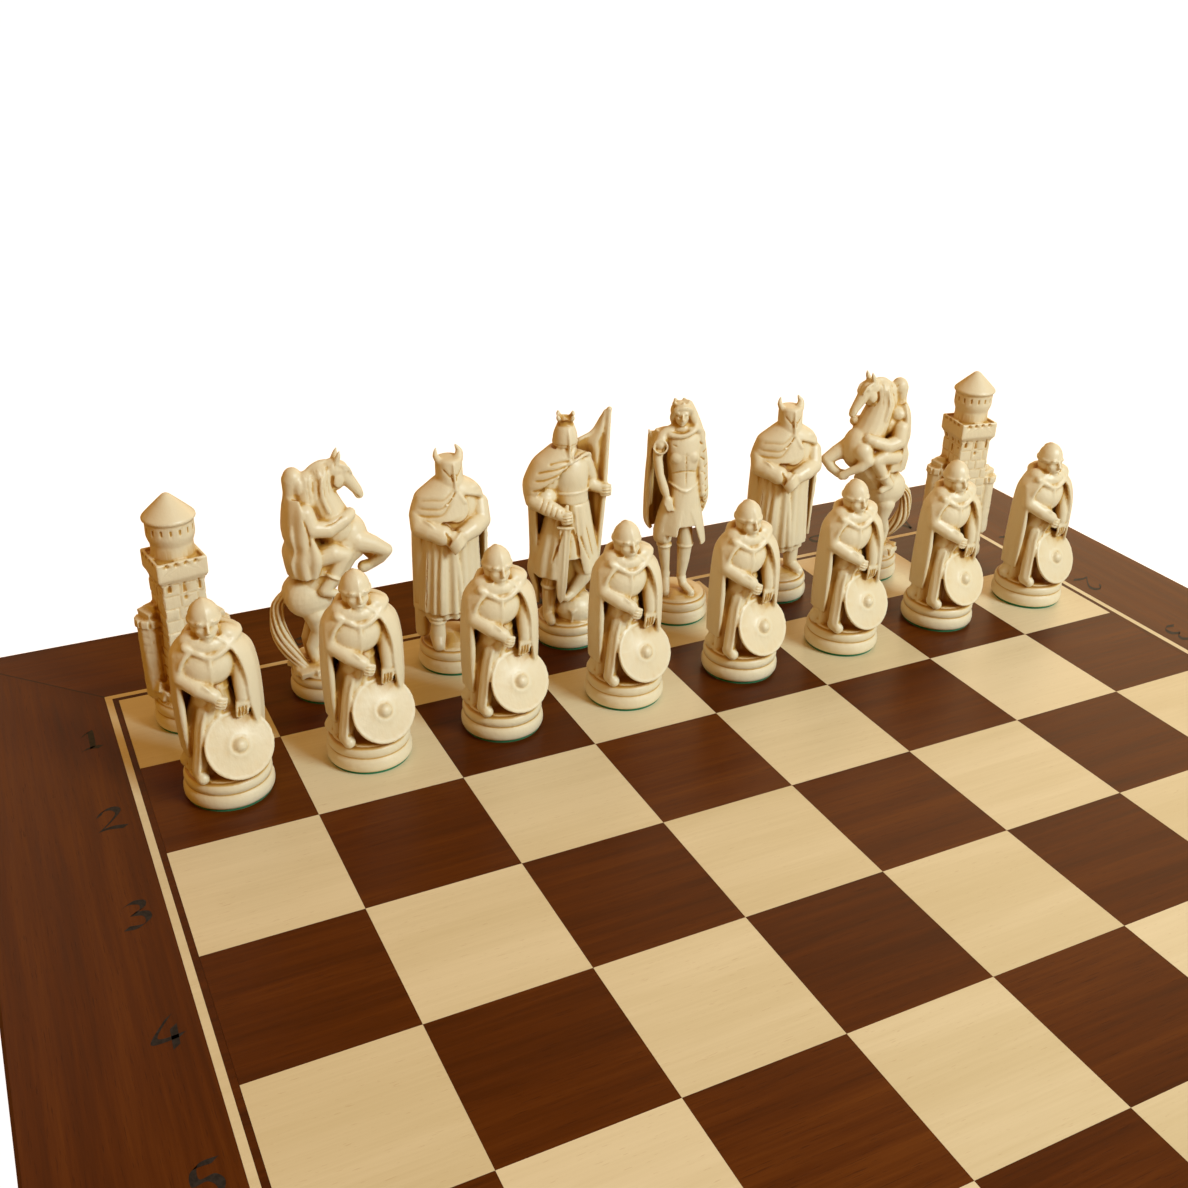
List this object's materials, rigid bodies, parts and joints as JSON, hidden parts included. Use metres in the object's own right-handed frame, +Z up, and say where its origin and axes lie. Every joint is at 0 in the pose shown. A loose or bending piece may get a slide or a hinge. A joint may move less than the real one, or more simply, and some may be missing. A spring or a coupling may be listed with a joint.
{
  "type": "chess set",
  "caption": "Chess set of carved medieval figure pieces on turned bases, one army set up on a square framed veneered board and the other standing in front of it.",
  "frame": {"origin": "centre of the board's underside, on the table", "axes": "+Z up; +Y across the board towards the light army's side; +X along the ranks from the h file to the a file"},
  "size_m": [0.5, 0.5917, 0.1113],
  "materials": {
    "core_plywood": "plain birch plywood, unfinished",
    "mahogany": "red-brown mahogany, satin lacquer",
    "dark_veneer": "dark brown veneer, satin lacquer",
    "maple": "pale maple, satin lacquer",
    "ivory_lacquered_wood": "ivory satin lacquer with amber stain in the hollows",
    "dark_lacquered_wood": "dark brown satin lacquer",
    "green_felt": "matt green felt",
    "green_baize": "matt green baize"
  },
  "bodies": {
    "board": {"core_panel": "core_plywood", "balancing_veneer": "mahogany", "light_squares": "maple", "dark_squares": "mahogany", "dark_border": "dark_veneer", "pale_line": "maple", "rail_far": "mahogany", "rail_left": "mahogany", "rail_near": "mahogany", "rail_right": "mahogany", "mitre_splines": "core_plywood", "underside_baize": "green_baize"},
    "light_rook_h": {"light_rook_h": "ivory_lacquered_wood", "light_rook_h_felt": "green_felt"},
    "light_knight_g": {"light_knight_g": "ivory_lacquered_wood", "light_knight_g_felt": "green_felt"},
    "light_bishop_f": {"light_bishop_f": "ivory_lacquered_wood", "light_bishop_f_felt": "green_felt"},
    "light_king": {"light_king": "ivory_lacquered_wood", "light_king_felt": "green_felt"},
    "light_queen": {"light_queen": "ivory_lacquered_wood", "light_queen_felt": "green_felt"},
    "light_bishop_c": {"light_bishop_c": "ivory_lacquered_wood", "light_bishop_c_felt": "green_felt"},
    "light_knight_b": {"light_knight_b": "ivory_lacquered_wood", "light_knight_b_felt": "green_felt"},
    "light_rook_a": {"light_rook_a": "ivory_lacquered_wood", "light_rook_a_felt": "green_felt"},
    "light_pawn_h": {"light_pawn_h": "ivory_lacquered_wood", "light_pawn_h_felt": "green_felt"},
    "light_pawn_g": {"light_pawn_g": "ivory_lacquered_wood", "light_pawn_g_felt": "green_felt"},
    "light_pawn_f": {"light_pawn_f": "ivory_lacquered_wood", "light_pawn_f_felt": "green_felt"},
    "light_pawn_e": {"light_pawn_e": "ivory_lacquered_wood", "light_pawn_e_felt": "green_felt"},
    "light_pawn_d": {"light_pawn_d": "ivory_lacquered_wood", "light_pawn_d_felt": "green_felt"},
    "light_pawn_c": {"light_pawn_c": "ivory_lacquered_wood", "light_pawn_c_felt": "green_felt"},
    "light_pawn_b": {"light_pawn_b": "ivory_lacquered_wood", "light_pawn_b_felt": "green_felt"},
    "light_pawn_a": {"light_pawn_a": "ivory_lacquered_wood", "light_pawn_a_felt": "green_felt"},
    "dark_rook_h": {"dark_rook_h": "dark_lacquered_wood"},
    "dark_knight_g": {"dark_knight_g": "dark_lacquered_wood"},
    "dark_bishop_f": {"dark_bishop_f": "dark_lacquered_wood"},
    "dark_king": {"dark_king": "dark_lacquered_wood"},
    "dark_queen": {"dark_queen": "dark_lacquered_wood"},
    "dark_bishop_c": {"dark_bishop_c": "dark_lacquered_wood"},
    "dark_knight_b": {"dark_knight_b": "dark_lacquered_wood"},
    "dark_rook_a": {"dark_rook_a": "dark_lacquered_wood"},
    "dark_pawn_h": {"dark_pawn_h": "dark_lacquered_wood"},
    "dark_pawn_g": {"dark_pawn_g": "dark_lacquered_wood"},
    "dark_pawn_f": {"dark_pawn_f": "dark_lacquered_wood"},
    "dark_pawn_e": {"dark_pawn_e": "dark_lacquered_wood"},
    "dark_pawn_d": {"dark_pawn_d": "dark_lacquered_wood"},
    "dark_pawn_c": {"dark_pawn_c": "dark_lacquered_wood"},
    "dark_pawn_b": {"dark_pawn_b": "dark_lacquered_wood"},
    "dark_pawn_a": {"dark_pawn_a": "dark_lacquered_wood"}
  },
  "joints": [
    {"name": "light_rook_h_lift", "type": "slide", "parent": "board", "child": "light_rook_h", "axis": [0, 0, 1], "range_m": [0, 0.15]},
    {"name": "light_knight_g_lift", "type": "slide", "parent": "board", "child": "light_knight_g", "axis": [0, 0, 1], "range_m": [0, 0.15]},
    {"name": "light_bishop_f_lift", "type": "slide", "parent": "board", "child": "light_bishop_f", "axis": [0, 0, 1], "range_m": [0, 0.15]},
    {"name": "light_king_lift", "type": "slide", "parent": "board", "child": "light_king", "axis": [0, 0, 1], "range_m": [0, 0.15]},
    {"name": "light_queen_lift", "type": "slide", "parent": "board", "child": "light_queen", "axis": [0, 0, 1], "range_m": [0, 0.15]},
    {"name": "light_bishop_c_lift", "type": "slide", "parent": "board", "child": "light_bishop_c", "axis": [0, 0, 1], "range_m": [0, 0.15]},
    {"name": "light_knight_b_lift", "type": "slide", "parent": "board", "child": "light_knight_b", "axis": [0, 0, 1], "range_m": [0, 0.15]},
    {"name": "light_rook_a_lift", "type": "slide", "parent": "board", "child": "light_rook_a", "axis": [0, 0, 1], "range_m": [0, 0.15]},
    {"name": "light_pawn_h_lift", "type": "slide", "parent": "board", "child": "light_pawn_h", "axis": [0, 0, 1], "range_m": [0, 0.15]},
    {"name": "light_pawn_g_lift", "type": "slide", "parent": "board", "child": "light_pawn_g", "axis": [0, 0, 1], "range_m": [0, 0.15]},
    {"name": "light_pawn_f_lift", "type": "slide", "parent": "board", "child": "light_pawn_f", "axis": [0, 0, 1], "range_m": [0, 0.15]},
    {"name": "light_pawn_e_lift", "type": "slide", "parent": "board", "child": "light_pawn_e", "axis": [0, 0, 1], "range_m": [0, 0.15]},
    {"name": "light_pawn_d_lift", "type": "slide", "parent": "board", "child": "light_pawn_d", "axis": [0, 0, 1], "range_m": [0, 0.15]},
    {"name": "light_pawn_c_lift", "type": "slide", "parent": "board", "child": "light_pawn_c", "axis": [0, 0, 1], "range_m": [0, 0.15]},
    {"name": "light_pawn_b_lift", "type": "slide", "parent": "board", "child": "light_pawn_b", "axis": [0, 0, 1], "range_m": [0, 0.15]},
    {"name": "light_pawn_a_lift", "type": "slide", "parent": "board", "child": "light_pawn_a", "axis": [0, 0, 1], "range_m": [0, 0.15]},
    {"name": "dark_rook_h_lift", "type": "slide", "parent": "board", "child": "dark_rook_h", "axis": [0, 0, 1], "range_m": [0, 0.15]},
    {"name": "dark_knight_g_lift", "type": "slide", "parent": "board", "child": "dark_knight_g", "axis": [0, 0, 1], "range_m": [0, 0.15]},
    {"name": "dark_bishop_f_lift", "type": "slide", "parent": "board", "child": "dark_bishop_f", "axis": [0, 0, 1], "range_m": [0, 0.15]},
    {"name": "dark_king_lift", "type": "slide", "parent": "board", "child": "dark_king", "axis": [0, 0, 1], "range_m": [0, 0.15]},
    {"name": "dark_queen_lift", "type": "slide", "parent": "board", "child": "dark_queen", "axis": [0, 0, 1], "range_m": [0, 0.15]},
    {"name": "dark_bishop_c_lift", "type": "slide", "parent": "board", "child": "dark_bishop_c", "axis": [0, 0, 1], "range_m": [0, 0.15]},
    {"name": "dark_knight_b_lift", "type": "slide", "parent": "board", "child": "dark_knight_b", "axis": [0, 0, 1], "range_m": [0, 0.15]},
    {"name": "dark_rook_a_lift", "type": "slide", "parent": "board", "child": "dark_rook_a", "axis": [0, 0, 1], "range_m": [0, 0.15]},
    {"name": "dark_pawn_h_lift", "type": "slide", "parent": "board", "child": "dark_pawn_h", "axis": [0, 0, 1], "range_m": [0, 0.15]},
    {"name": "dark_pawn_g_lift", "type": "slide", "parent": "board", "child": "dark_pawn_g", "axis": [0, 0, 1], "range_m": [0, 0.15]},
    {"name": "dark_pawn_f_lift", "type": "slide", "parent": "board", "child": "dark_pawn_f", "axis": [0, 0, 1], "range_m": [0, 0.15]},
    {"name": "dark_pawn_e_lift", "type": "slide", "parent": "board", "child": "dark_pawn_e", "axis": [0, 0, 1], "range_m": [0, 0.15]},
    {"name": "dark_pawn_d_lift", "type": "slide", "parent": "board", "child": "dark_pawn_d", "axis": [0, 0, 1], "range_m": [0, 0.15]},
    {"name": "dark_pawn_c_lift", "type": "slide", "parent": "board", "child": "dark_pawn_c", "axis": [0, 0, 1], "range_m": [0, 0.15]},
    {"name": "dark_pawn_b_lift", "type": "slide", "parent": "board", "child": "dark_pawn_b", "axis": [0, 0, 1], "range_m": [0, 0.15]},
    {"name": "dark_pawn_a_lift", "type": "slide", "parent": "board", "child": "dark_pawn_a", "axis": [0, 0, 1], "range_m": [0, 0.15]}
  ]
}
